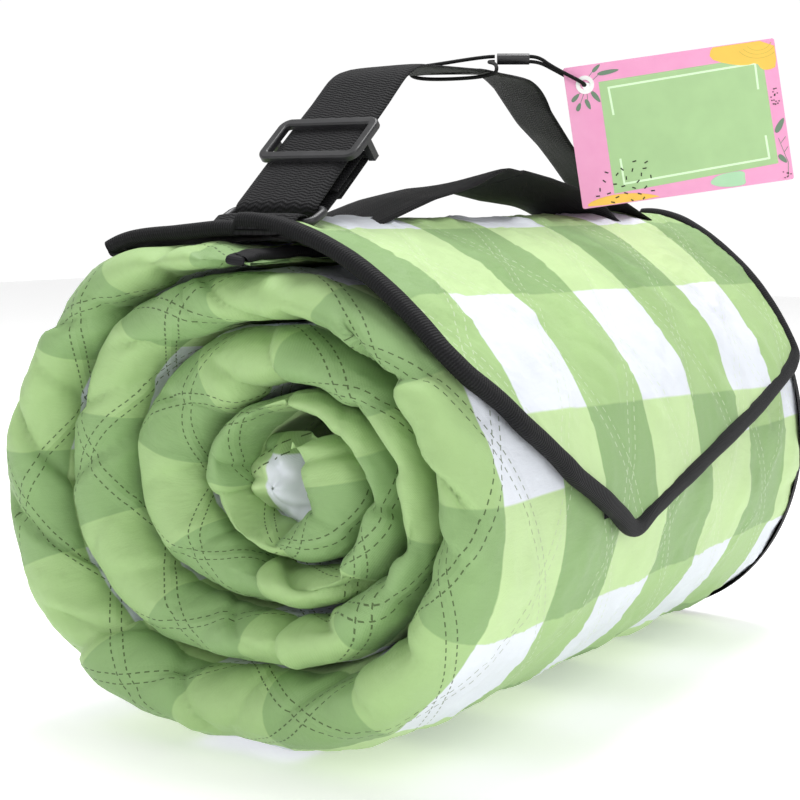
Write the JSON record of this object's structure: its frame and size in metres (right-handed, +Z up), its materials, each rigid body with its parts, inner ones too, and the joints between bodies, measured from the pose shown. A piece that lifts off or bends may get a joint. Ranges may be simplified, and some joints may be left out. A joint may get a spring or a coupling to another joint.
{
  "type": "rolled camp blanket",
  "caption": "Rolled quilted picnic blanket in gingham cloth, with a bound flap over the roll, a webbing carry handle, an adjustable shoulder strap and a swing tag.",
  "frame": {"origin": "middle of the flat the roll rests on", "axes": "+X along the roll away from the wound spiral end, +Z up, the flap tip hangs on the -Y side"},
  "size_m": [0.352, 0.2228, 0.279],
  "materials": {
    "gingham_cotton": "woven cotton, green and white gingham",
    "batting": "soft polyester wadding",
    "backing": "coated waterproof cloth",
    "lining": "dark woven lining",
    "binding_tape": "folded grosgrain tape",
    "webbing": "ribbed webbing",
    "thread_black": "thread",
    "hook_and_loop": "hook-and-loop tape",
    "ring_metal": "black coated wire",
    "slider_plastic": "moulded, satin",
    "cord": "waxed cord",
    "crimp_plastic": "shrunk sleeve",
    "tag_card": "printed card",
    "eyelet_plastic": "white ring"
  },
  "bodies": {
    "roll": {"face_fabric": "gingham_cotton", "batting_outer": "batting", "waterproof_backing": "backing", "batting_inner": "batting", "far_edge_binding": "binding_tape", "outer_end_binding": "binding_tape", "saddle_face": "gingham_cotton", "saddle_lining": "lining", "saddle_binding": "binding_tape", "saddle_seam_thread": "thread_black", "loop_patch": "hook_and_loop", "front_tab": "webbing", "front_tab_stitching": "thread_black", "shoulder_strap_front_run": "webbing", "shoulder_strap_rear_end": "webbing", "rear_end_stitching": "thread_black", "carry_handle_front_end": "webbing", "carry_handle_rear_end": "webbing", "handle_front_stitching": "thread_black", "handle_rear_stitching": "thread_black"},
    "flap": {"flap_face": "gingham_cotton", "flap_lining": "lining", "flap_binding": "binding_tape", "hook_patch": "hook_and_loop"},
    "ring": {"strap_ring": "ring_metal"},
    "slider": {"slider_frame": "slider_plastic", "slider_bar_loop": "webbing"},
    "strap_arch": {"shoulder_strap_arch": "webbing", "tag_cord_strap_loop": "cord"},
    "handle_grip": {"carry_handle_grip": "webbing"},
    "tag_cord": {"tag_cord_crimp": "crimp_plastic", "tag_cord_card_loop": "cord"},
    "tag": {"tag_card": "tag_card", "tag_eyelet": "eyelet_plastic"}
  },
  "joints": [
    {"name": "flap_open", "type": "hinge", "parent": "roll", "child": "flap", "pos_m": [0, -0.03487, 0.19475], "axis": [-1, 0, 0], "range_deg": [0, 44]},
    {"name": "ring_rock", "type": "hinge", "parent": "roll", "child": "ring", "pos_m": [-0.1375, -0.008, 0.2007], "axis": [0, 1, 0], "range_deg": [-1.5, 1.5]},
    {"name": "slider_adjust", "type": "slide", "parent": "roll", "child": "slider", "axis": [0.766, 0, 0.6428], "range_m": [-0.007, 0.003]},
    {"name": "shoulder_strap_swing", "type": "hinge", "parent": "roll", "child": "strap_arch", "pos_m": [-0.085, -0.008, 0.246], "axis": [-1, 0, 0], "range_deg": [-4, 40]},
    {"name": "carry_handle_swing", "type": "hinge", "parent": "roll", "child": "handle_grip", "pos_m": [-0.052, -0.008, 0.209], "axis": [-1, 0, 0], "range_deg": [-20, 20]},
    {"name": "tag_swing", "type": "hinge", "parent": "strap_arch", "child": "tag_cord", "pos_m": [0.0236, -0.0083, 0.2696], "axis": [-0.8149, -0.5689, 0.111], "range_deg": [-5, 10]},
    {"name": "tag_twist", "type": "hinge", "parent": "tag_cord", "child": "tag", "pos_m": [0.045, -0.04, 0.2588], "axis": [-0.8149, -0.5689, 0.111], "range_deg": [-8, 12]}
  ]
}
